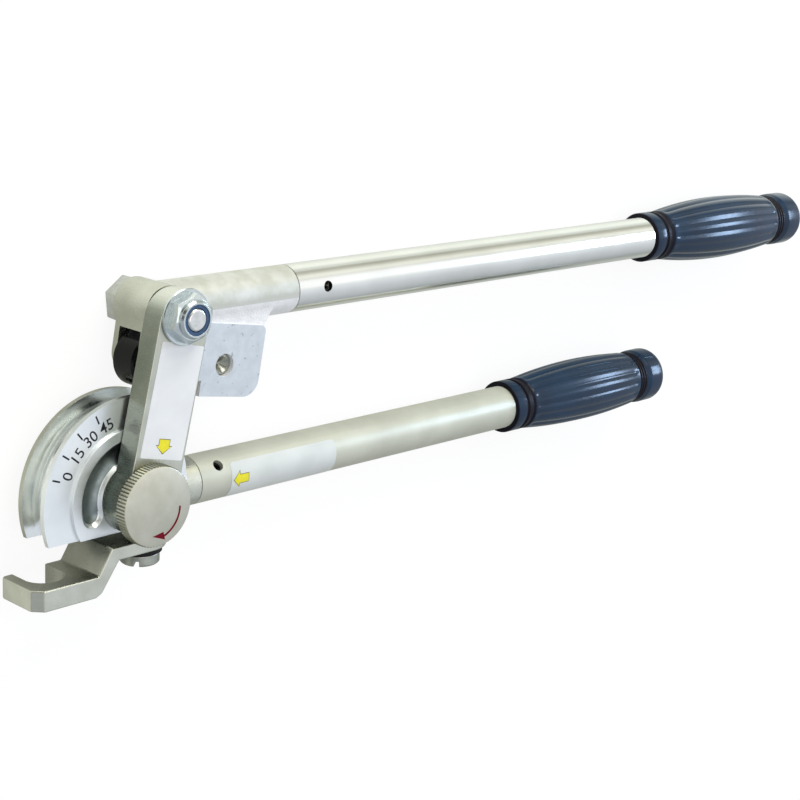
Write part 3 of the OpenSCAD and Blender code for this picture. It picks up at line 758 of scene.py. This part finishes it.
@dataclass
class Grip:
    """A fluted vinyl grip on the end of a handle tube; places along it are shares of its length."""

    body: Body
    node: str
    end: float
    length: float
    radius: float
    axis: float
    bore: float = 10.87
    mouth: float = 0.5
    collar: float = 13.4
    lip: tuple[float, float] = (0.2, 0.25)
    lip_end: float = 0.8
    lip_flat: float = 0.4
    ring_depth: float = 0.8
    rings: tuple[float, ...] = (0.054, 0.059, 0.067, 0.073, 0.083, 0.088, 0.104)
    front: float = 0.112
    peak: float = 0.505
    waist: float = 0.812
    barrel_steps: int = 60
    neck_depth: float = 1.1
    neck_from: float = 0.82
    bead_depth: float = 0.6
    beads: tuple[float, ...] = (0.824, 0.84, 0.856)
    bead: tuple[float, ...] = (0.0, 0.004, 0.009, 0.013)
    cap_from: tuple[float, ...] = (0.874, 0.886, 0.9)
    cap_step: float = 0.1
    cap_ease: float = 0.12
    cap_round: float = 5.0
    cap_wall: float = 13.0
    # Shares of the length whose faces take the near-black vinyl: painted shade.
    sunken: tuple[tuple[float, float], ...] = ((-0.01, 0.01), (0.05, 0.112), (0.814, 0.88))
    flutes: int = 15
    flute_depth: float = 0.75
    flute_turn: float = 4.0
    flute_run: float = 0.03
    flute_faces: int = 12
    bore_slack: float = 0.6

    def barrel(self, u: float) -> float:
        """Gives the barrel's radius at a share of the length."""
        return self.radius - (self.radius - self.collar) * ((u - self.peak) / (self.peak - self.front)) ** 2

    def profile(self) -> Profile:
        """Draws the grip's half section.

        Returns:
            Points of radius and height from the bottom of the bore to the middle of the end.
        """
        foot = self.length - self.cap_wall
        bore = [(0, foot), (self.bore, foot), (self.bore, self.mouth), (self.bore + self.mouth, 0.0)]
        high, low = self.collar, self.collar - self.ring_depth
        lip = [(low - self.lip_flat, 0.0), (low, 0.0), (high - self.lip[0], self.lip[1]),
               (high, self.lip_end)]
        rings = zip((high, low, low, high, high, low, low), self.rings)
        swell = [self.front + (self.waist - self.front) * i / self.barrel_steps
                 for i in range(self.barrel_steps + 1)]
        barrel = [(self.barrel(u), u) for u in swell]
        cap = self.barrel(self.waist) + self.cap_step
        sunk, bead = cap - self.neck_depth, cap - self.bead_depth
        neck = [(sunk, self.neck_from)]
        for start in self.beads:
            neck += zip((sunk, bead, bead, sunk), (start + run for run in self.bead))
        neck += zip((sunk, cap - self.cap_ease, cap), self.cap_from)
        edge = [(cap - self.cap_round * (1 - math.cos(a)), self.length - self.cap_round * (1 - math.sin(a)))
                for a in (math.radians(i * 10) for i in range(10))]
        outside = [(radius, u * self.length) for radius, u in [*rings, *barrel, *neck]]
        return bore + lip + outside + edge + [(0, self.length)]

    def build(self) -> None:
        """Turns the grip and presses its flutes."""
        place = Matrix.Translation(Vector((self.end - self.length, self.axis, 0)) * MM)
        lying = place @ Matrix.Rotation(math.pi / 2, 4, "Y")
        blank = lathe(self.profile(), self.flutes * self.flute_faces, lying)
        flutes = Pattern(self.node + "_flutes")
        for name, u in (("From", self.front), ("Risen", self.front + self.flute_run),
                        ("Falling", self.waist - self.flute_run), ("To", self.waist)):
            flutes.give(name, "Float", (self.end - self.length * (1 - u)) * MM)
        flutes.give("Axis", "Float", self.axis * MM)
        flutes.give("Half Count", "Float", self.flutes / 2)
        flutes.give("Lag", "Float", -math.radians(self.flute_turn) * self.flutes / 2)
        flutes.give("Depth", "Float", -self.flute_depth * MM)
        flutes.give("Bore", "Float", (self.bore + self.bore_slack) * MM)
        flutes.give("Finish", "Material", NAVY_VINYL.material())
        tree = flutes.tree
        given = add(tree, "NodeGroupInput").outputs
        spot = add(tree, "GeometryNodeInputPosition")
        core = add(tree, "ShaderNodeCombineXYZ", {"Y": given["Axis"]})
        off = add(tree, "ShaderNodeVectorMath", {0: spot.outputs[0], 1: core.outputs[0]},
                  operation="SUBTRACT")
        at = add(tree, "ShaderNodeSeparateXYZ", {0: off.outputs[0]}).outputs
        around = add(tree, "ShaderNodeMath", {0: at["Y"], 1: at["Z"]}, operation="ARCTAN2")
        half = add(tree, "ShaderNodeMath", {0: around.outputs[0], 1: given["Half Count"], 2: given["Lag"]},
                   operation="MULTIPLY_ADD")
        wave = add(tree, "ShaderNodeMath", {0: half.outputs[0]}, operation="SINE")
        ridge = add(tree, "ShaderNodeMath", {0: wave.outputs[0]}, operation="ABSOLUTE")
        valley = add(tree, "ShaderNodeMath", {0: 1.0, 1: ridge.outputs[0]}, operation="SUBTRACT")
        rise = add(tree, "ShaderNodeMapRange", {
            "Value": at["X"], "From Min": given["From"], "From Max": given["Risen"]}, **SMOOTH)
        fall = add(tree, "ShaderNodeMapRange", {
            "Value": at["X"], "From Min": given["To"], "From Max": given["Falling"]}, **SMOOTH)
        radial = add(tree, "ShaderNodeCombineXYZ", {"Y": at["Y"], "Z": at["Z"]}).outputs[0]
        spread = add(tree, "ShaderNodeVectorMath", {0: radial}, operation="LENGTH").outputs["Value"]
        outside = add(tree, "ShaderNodeMath", {0: spread, 1: given["Bore"]}, operation="GREATER_THAN")
        sink = given["Depth"]
        for part in (valley, rise, fall, outside):
            sink = add(tree, "ShaderNodeMath", {0: sink, 1: part.outputs[0]}, operation="MULTIPLY").outputs[0]
        out = add(tree, "ShaderNodeVectorMath", {0: radial}, operation="NORMALIZE")
        push = add(tree, "ShaderNodeVectorMath", {0: out.outputs[0], "Scale": sink}, operation="SCALE")
        moved = add(tree, "GeometryNodeSetPosition", {"Geometry": given[0], "Offset": push.outputs[0]})
        flutes.close(moved.outputs[0], given["Finish"])
        grip = flutes.run(self.node + "_dressed", blank, NAVY_VINYL)
        grip.data.materials.append(SHADED_VINYL.material())
        # Faces in the sunken bands take the near-black vinyl: painted shade.
        for face in grip.data.polygons:
            share = 1 - (self.end - face.center.x / MM) / self.length
            face.material_index = int(any(low < share < high for low, high in self.sunken))
        # The tubes mirror pale floor along their undersides in the picture, and not the other grip.
        grip.visible_glossy = False
        keep(grip, self.body, Slot.GRIP, self.node)


@dataclass
class LowerHandle:
    """The fixed handle: tube, spring pin, grip and its blank label."""

    drop: float = 2.8
    tube_radius: float = 10.85
    label_from: float = 54.5
    label_to: float = 118.0
    label_top: float = 40.0
    label_low: float = -62.0
    label_corner: float = 2.0
    label_grid: float = 1.0
    label_lift: float = 0.02
    grip_end: float = 373.0
    grip_length: float = 127.0
    grip_radius: float = 16.6
    arrow: tuple[float, ...] = (55.8, 59.2, 64.2, -0.6, 3.5, 1.9)

    def on_tube(self, along: float, round_: float, height: float) -> Vector:
        """Lays a point on the tube, its second axis being the arc from the top."""
        turn, radius = round_ / self.tube_radius, self.tube_radius + self.label_lift + height
        return Vector((along, radius * math.sin(turn) - self.drop, radius * math.cos(turn)))

    def build(self) -> None:
        """Dresses the handle."""
        soften("lower_tube", Body.BASE, Slot.PLATED_TUBE, [SATIN_TUBE])
        dress(BLACK_OXIDE, "lower_spring_pin")
        Grip(Body.BASE, "lower_grip", self.grip_end, self.grip_length, self.grip_radius, -self.drop).build()
        arc = math.radians(self.tube_radius)
        outline = round_box(self.label_from, self.label_to, self.label_low * arc, self.label_top * arc,
                            self.label_corner)
        stick("lower_label", outline, self.arrow, self.on_tube, self.label_grid, GREY_FILM, Body.BASE,
              Slot.PLATED_TUBE)


@dataclass
class Link:
    """The link bar with its blank label, and the pivot bolt with its lock nut."""

    angle: float = 77.1
    top: float = 21.2
    label_from: float = 18.6
    label_to: float = 67.2
    label_right: float = -13.4
    label_left: float = 9.0
    label_corner: float = 0.8
    label_lift: float = 0.01
    arrow: tuple[float, ...] = (21.1, 24.2, 27.0, -2.3, 3.9, 2.7)

    def on_bar(self, along: float, across: float, height: float) -> Vector:
        """Lays a point on the bar's face, the second axis to its left."""
        turn = math.radians(self.angle)
        return Vector((along * math.cos(turn) - across * math.sin(turn),
                       along * math.sin(turn) + across * math.cos(turn), self.top + self.label_lift + height))

    def finish_of(self, middle: Vector, normal: Vector) -> int:
        """Picks the edge tone, painted shade and highlight, for the bar's edges and ground steel for its
        faces.
        """
        # Faces turned sideways take the darker edge tone: painted shade.
        return int(abs(normal.z) < 0.5)

    def build(self) -> None:
        """Dresses the link and its fasteners."""
        soften("link_bar", Body.LINK, Slot.STEEL, [GROUND_BAR, EDGE_SHADE_AND_HIGHLIGHT], self.finish_of)
        outline = round_box(self.label_from, self.label_to, self.label_right, self.label_left,
                            self.label_corner)
        stick("link_label", outline, self.arrow, self.on_bar, WHOLE, WHITE_FILM, Body.LINK, Slot.STEEL)
        soften("lock_nut", Body.LINK, Slot.ZINC, [BLUE_ZINC])
        soften("pivot_bolt", Body.LINK, Slot.ZINC, [BOLT_ZINC])
        dress(BLUE_ZINC, "pivot_washer")
        dress(BLUE_NYLON, "nut_insert")


@dataclass
class Lever:
    """The lever head with its rollers, and the upper handle."""

    face: float = 10.1
    bolt: tuple[float, float] = (17.492, 76.373)
    barrel: float = 11.2
    web_from: float = 2.0
    front_facing: float = 0.9
    side_facing: float = 0.8
    face_slack: float = 0.1
    grip_end: float = 500.5
    grip_length: float = 145.0
    grip_radius: float = 17.7

    def finish_of(self, middle: Vector, normal: Vector) -> int:
        """Picks cast skin, milled plate, raw web, the plate's left sides in the web's near-white finish as
        painted light, or blasted neck.

        Args:
            middle: Middle of a face, in millimetres.
            normal: Its normal.

        Returns:
            Number of its finish.
        """
        below = self.bolt[1] - middle.y
        outermost = middle.z > self.face - self.face_slack
        if normal.z > self.front_facing and outermost and below > self.barrel / 2:
            return 1
        # Faces turned left on the plate take the near-white web finish: painted light on a side in shade.
        if normal.x < -self.side_facing and middle.z > 0 and below > self.barrel * 2:
            return 2
        if middle.x - self.bolt[0] < self.barrel or middle.z < -self.face:
            return 0
        return 3 if below < self.web_from else 2

    def build(self) -> None:
        """Dresses the lever and what it carries."""
        finishes = [NICKEL_CASTING, SCUFFED_PLATE, NEAR_WHITE_CASTING, BLASTED_NECK]
        soften("lever_head", Body.LEVER, Slot.CAST_NICKEL, finishes, self.finish_of)
        soften("upper_tube", Body.LEVER, Slot.PLATED_TUBE, [BRIGHT_TUBE])
        dress(BLACK_OXIDE, "upper_spring_pin")
        dress(DULL_ZINC, "inner_roller_pin", "outer_roller_pin")
        dress(BLACK_ACETAL, "inner_roller", "outer_roller")
        Grip(Body.LEVER, "upper_grip", self.grip_end, self.grip_length, self.grip_radius,
             self.bolt[1]).build()


@dataclass
class Hook:
    """The swinging hook and its screw."""

    def build(self) -> None:
        """Dresses the hook, its screw and the spring washer."""
        soften("tube_hook", Body.HOOK, Slot.CAST_NICKEL, [NICKEL_CASTING])
        soften("hook_screw", Body.BASE, Slot.ZINC, [DULL_ZINC])
        dress(BLACK_OXIDE, "hook_spring_washer")


@dataclass
class Knob:
    """The clamp knob: turned face, knurled rim and a printed turning arrow."""

    radius: float = 17.2
    low: float = 21.5
    high: float = 28.0
    rim_inset: float = 0.2
    back_chamfer: tuple[float, float] = (1.0, 0.7)
    front_round: tuple[float, float] = (0.4, 0.12)
    faces: int = 144
    ridges: int = 72
    ridge: float = 0.5
    ridge_sunk: float = 0.12
    ridge_ends: tuple[float, float] = (0.75, 0.55)
    lift: float = 0.01
    ink: float = 0.04
    arrow_from: float = -8.0
    arrow_to: float = -76.0
    arrow_tip: float = -103.0
    arrow_line: float = 0.45
    arrow_radius: float = 11.4
    arrow_drift: float = 2.0
    arrow_head: float = 1.8
    arrow_bend: float = 0.8
    arrow_steps: int = 14

    def build(self) -> None:
        """Turns the knob, knurls its rim and prints the arrow."""
        rim = self.radius - self.rim_inset
        inwards, upwards = self.back_chamfer
        ease, corner = self.front_round
        profile = [(0, self.low), (rim - inwards, self.low), (rim, self.low + upwards),
                   (rim, self.high - ease), (rim - corner, self.high - corner), (rim - ease, self.high),
                   (0, self.high)]
        disc = piece("knob_disc", lathe(profile, self.faces, Matrix()), TURNED_KNOB)
        keep(disc, Body.KNOB, Slot.STEEL, "clamp_knob")
        keep(self.knurl(rim), Body.KNOB, Slot.STEEL)
        top = self.high + self.lift
        arrow = film(self.arrow(), self.ink, lambda x, y, height: Vector((x, y, top + height)), WHOLE)
        keep(piece("knob_arrow", arrow, RED_INK), Body.KNOB, Slot.STEEL)

    def knurl(self, rim: float) -> Object:
        """Sets straight ridges round the rim.

        Args:
            rim: Radius that the ridges stand on.

        Returns:
            All ridges as one piece.
        """
        low, high = self.low + self.ridge_ends[0], self.high - self.ridge_ends[1]
        ridges = Pattern("straight_knurl")
        ridges.give("Count", "Int", self.ridges)
        ridges.give("Step", "Float", math.tau / self.ridges)
        ridges.give("Radius", "Float", (rim - self.ridge_sunk) * MM)
        ridges.give("Ridge", "Float", self.ridge * MM)
        ridges.give("Height", "Float", (high - low) * MM)
        ridges.give("Level", "Float", (high + low) / 2 * MM)
        # The ridges take the darker knurl tone: painted shade.
        ridges.give("Finish", "Material", SHADED_KNURL.material())
        tree = ridges.tree
        given = add(tree, "NodeGroupInput").outputs
        ring = add(tree, "GeometryNodeMeshCircle", {"Vertices": given["Count"], "Radius": given["Radius"]})
        lift = add(tree, "ShaderNodeCombineXYZ", {"Z": given["Level"]})
        raised = add(tree, "GeometryNodeSetPosition", {
            "Geometry": ring.outputs[0], "Offset": lift.outputs[0]})
        prism = add(tree, "GeometryNodeMeshCylinder", {
            "Vertices": 4, "Radius": given["Ridge"], "Depth": given["Height"]})
        index = add(tree, "GeometryNodeInputIndex")
        angle = add(tree, "ShaderNodeMath", {0: index.outputs[0], 1: given["Step"]}, operation="MULTIPLY")
        turn = add(tree, "ShaderNodeCombineXYZ", {"Z": angle.outputs[0]})
        teeth = add(tree, "GeometryNodeInstanceOnPoints", {
            "Points": raised.outputs[0], "Instance": prism.outputs[0], "Rotation": turn.outputs[0]})
        ridges.close(teeth.outputs[0], given["Finish"])
        return ridges.run("knob_knurl", bpy.data.meshes.new("knurl"), SHADED_KNURL)

    def arrow(self) -> Profile:
        """Draws the curved arrow.

        Returns:
            Its outline on the knob's face.
        """
        span = self.arrow_to - self.arrow_from
        sweep = [self.arrow_from + span * i / self.arrow_steps for i in range(self.arrow_steps + 1)]
        points = [(a, self.arrow_line) for a in sweep]
        points += [(self.arrow_to, self.arrow_head), (self.arrow_tip, -self.arrow_bend),
                   (self.arrow_to, -self.arrow_head)]
        points += [(a, -self.arrow_line) for a in reversed(sweep)]
        outline = []
        for angle, side in points:
            radius = self.arrow_radius + self.arrow_drift * min((angle - self.arrow_from) / span, 1.0) + side
            outline.append((radius * math.cos(math.radians(angle)), radius * math.sin(math.radians(angle))))
        return outline


@dataclass(frozen=True)
class Lamp:
    """A soft lamp that faces the tool: direction, distance and sides in metres, across the handles first."""

    name: str
    way: tuple[float, float, float]
    far: float
    size: tuple[float, float]
    watts: float
    tint: str

    def hang(self, middle: Vector) -> None:
        """Hangs the lamp.

        Args:
            middle: Point that it faces, in metres.
        """
        light = bpy.data.lights.new(self.name, "AREA")
        light.shape = "RECTANGLE"
        light.size, light.size_y = self.size
        light.energy = self.watts
        light.color = linear(self.tint)[:3]
        holder = bpy.data.objects.new(self.name, light)
        out = Vector(self.way).normalized()
        across = out.cross(Vector((1, 0, 0))).normalized()
        facing = Matrix((across, out.cross(across), out)).transposed().to_4x4()
        holder.matrix_world = Matrix.Translation(middle + out * self.far) @ facing
        bpy.context.scene.collection.objects.link(holder)


@dataclass
class Studio:
    """White sweep, soft lamps and the camera of the picture."""

    eye: tuple[float, float, float] = (-436.563, 232.725, 569.134)
    turn: tuple[float, float, float, float] = (0.91094, -0.128563, -0.391042, -0.027318)
    lens: float = 79.796
    sensor: float = 36.0
    clip: float = 0.01
    middle: tuple[float, float, float] = (200.0, 30.0, 0.0)
    # The strip shows in the grips' gloss, the softbox lights the tops, and the fill the faces.
    lamps: tuple[Lamp, ...] = (
        Lamp("right_strip", (0.84, 0.2, 0.5), 1.3, (0.42, 0.18), 4.8, "#bcdaff"),
        Lamp("top_softbox", (0.1, 0.9, 0.45), 1.5, (0.9, 0.9), 11.0, "#fffff4"),
        Lamp("front_fill", (-0.5, 0.1, 0.85), 1.6, (1.0, 1.0), 4.0, "#fffffa"))
    # Light that matt faces get from the room.
    haze: str = "#c0c0c0"
    # Where the mirrored room brightens from left to right, as shares of X, and between which levels.
    sides: tuple[float, float, float, float] = (-0.8, 0.4, 0.9, 1.35)
    # The dark round the camera: cosines where it starts and is full, and its level.
    dark: tuple[float, float, float] = (0.85, 0.965, 0.12)
    floor: float = -19.3
    floor_half: float = 4.0
    # Glow of the floor in metal, painted light: low near the tool as a painted shadow, higher away from it.
    # Axis, start and end in millimetres, and what each fade adds there.
    fades: tuple[tuple[str, float, float, float, float], ...] = (
        ("Y", 70, 120, 0.3, 0.9), ("Y", 130, 220, 0.0, -0.4), ("X", -35, -70, 0.0, 0.35),
        ("Y", 15, -25, 0.0, -0.16))
    # Glow of the floor to the camera, which its own shade lifts to white outside the shadow.
    floor_glow: float = 0.88
    # Level of the room seen in metal, by the angle of the mirrored ray from +Z towards +Y.
    room: tuple[tuple[float, str], ...] = (
        (-120, "#8f9498"), (-91, "#979ca0"), (-77, "#a6abaf"), (-64, "#b4b9be"), (-32, "#c8cdd4"),
        (-22, "#d2d7df"), (-3, "#e3e6ea"), (6, "#fcfcfd"), (34, "#fcfcfd"), (43, "#dededa"), (53, "#f0f0e8"),
        (62, "#e9e9de"), (73, "#bebeb2"), (83, "#acaca0"), (95, "#bbbbae"), (120, "#bbbbae"))

    def build(self) -> None:
        """Sets up the camera, the world, the lamps and the floor."""
        scene = bpy.context.scene
        scene.view_settings.view_transform = "Standard"
        camera = bpy.data.cameras.new("picture")
        camera.sensor_width = self.sensor
        camera.sensor_fit = "HORIZONTAL"
        camera.lens = self.lens
        camera.clip_start = self.clip
        holder = bpy.data.objects.new("picture", camera)
        facing = Quaternion(self.turn).to_matrix().to_4x4()
        holder.matrix_world = Matrix.Translation(Vector(self.eye) * MM) @ facing
        scene.collection.objects.link(holder)
        scene.camera = holder
        self.world(scene)
        for lamp in self.lamps:
            lamp.hang(Vector(self.middle) * MM)
        self.ground()

    def world(self, scene: bpy.types.Scene) -> None:
        """Paints the room: white behind the tool, a graded room in its reflections, dark round the camera.

        Args:
            scene: Scene that gets the world.
        """
        world = bpy.data.worlds.new("white_room")
        scene.world = world
        world.use_nodes = True
        tree = world.node_tree
        tree.nodes.clear()
        toward = add(tree, "ShaderNodeTexCoord").outputs["Generated"]
        way = add(tree, "ShaderNodeSeparateXYZ", {0: toward}).outputs
        turn = add(tree, "ShaderNodeMath", {0: way["Y"], 1: way["Z"]}, operation="ARCTAN2")
        share = add(tree, "ShaderNodeMapRange", {
            "Value": turn.outputs[0], "From Min": -math.pi, "From Max": math.pi})
        ramp = add(tree, "ShaderNodeValToRGB", {"Fac": share.outputs[0]})
        stops = ramp.color_ramp.elements
        while len(stops) < len(self.room):
            stops.new(0.5)
        for stop, (angle, tone) in zip(stops, self.room):
            stop.position = (angle + 180) / 360
            stop.color = linear(tone)
        dim, bright, low, high = self.sides
        left = add(tree, "ShaderNodeMapRange", {
            "Value": way["X"], "From Min": dim, "From Max": bright, "To Min": low, "To Max": high}, **SMOOTH)
        near = Vector(self.eye).normalized()
        nearby = add(tree, "ShaderNodeVectorMath", {0: toward, 1: near}, operation="DOT_PRODUCT")
        dark = add(tree, "ShaderNodeMapRange", {
            "Value": nearby.outputs["Value"], "From Min": self.dark[0], "From Max": self.dark[1],
            "To Min": 1.0, "To Max": self.dark[2]}, **SMOOTH)
        level = add(tree, "ShaderNodeMath", {0: left.outputs[0], 1: dark.outputs[0]}, operation="MULTIPLY")
        seen = add(tree, "ShaderNodeMix", {0: 1.0, 6: ramp.outputs[0], 7: level.outputs[0]},
                   data_type="RGBA", blend_type="MULTIPLY")
        rays = add(tree, "ShaderNodeLightPath").outputs
        mirrored = add(tree, "ShaderNodeMath", {0: rays["Is Glossy Ray"], 1: rays["Is Transmission Ray"]},
                       operation="MAXIMUM")
        light = add(tree, "ShaderNodeMix", {0: mirrored.outputs[0], 6: linear(self.haze), 7: seen.outputs[2]},
                    data_type="RGBA")
        shown = add(tree, "ShaderNodeMix", {
            0: rays["Is Camera Ray"], 6: light.outputs[2], 7: linear("#ffffff")}, data_type="RGBA")
        glow = add(tree, "ShaderNodeBackground", {"Color": shown.outputs[2]})
        add(tree, "ShaderNodeOutputWorld", {"Surface": glow.outputs[0]})

    def ground(self) -> None:
        """Lays the pale floor, white to the camera but for the tool's shadow."""
        half, low = self.floor_half, self.floor * MM
        mesh = bpy.data.meshes.new("floor")
        mesh.from_pydata([(-half, -half, low), (half, -half, low), (half, half, low), (-half, half, low)], [],
                         [(0, 1, 2, 3)])
        floor = bpy.data.objects.new("floor", mesh)
        bpy.context.scene.collection.objects.link(floor)
        material = bpy.data.materials.new("white sweep paper")
        material.use_nodes = True
        tree = material.node_tree
        tree.nodes.clear()
        place = add(tree, "ShaderNodeTexCoord").outputs["Object"]
        at = add(tree, "ShaderNodeSeparateXYZ", {0: place}).outputs
        # The floor glows for the metal's reflections, dim near the tool: painted light and painted shadow.
        level: Socket | float = 0.0
        for axis, begin, end, first, last in self.fades:
            fade = add(tree, "ShaderNodeMapRange", {
                "Value": at[axis], "From Min": begin * MM, "From Max": end * MM,
                "To Min": first, "To Max": last}, **SMOOTH)
            level = add(tree, "ShaderNodeMath", {0: level, 1: fade.outputs[0]}).outputs[0]
        matt = add(tree, "ShaderNodeBsdfDiffuse", {"Color": linear("#a6a8a1")})
        lit = add(tree, "ShaderNodeEmission", {"Color": linear("#fcfef6"), "Strength": level})
        paper = add(tree, "ShaderNodeAddShader", {0: matt.outputs[0], 1: lit.outputs[0]})
        faint = add(tree, "ShaderNodeBsdfDiffuse", {"Color": linear("#707070")})
        glow = add(tree, "ShaderNodeEmission", {"Strength": self.floor_glow})
        white = add(tree, "ShaderNodeAddShader", {0: glow.outputs[0], 1: faint.outputs[0]})
        rays = add(tree, "ShaderNodeLightPath").outputs
        look = add(tree, "ShaderNodeMixShader", {
            0: rays["Is Camera Ray"], 1: paper.outputs[0], 2: white.outputs[0]})
        add(tree, "ShaderNodeOutputMaterial", {"Surface": look.outputs[0]})
        mesh.materials.append(material)


def main() -> None:
    """Builds the tool's pieces in order, then the studio."""
    logging.basicConfig(level=logging.INFO, format="%(message)s")
    for part in (Former(), LowerHandle(), Link(), Lever(), Hook(), Knob()):
        LOG.info("dressing the %s", type(part).__name__)
        part.build()
    Studio().build()


if __name__ == "__main__":
    main()
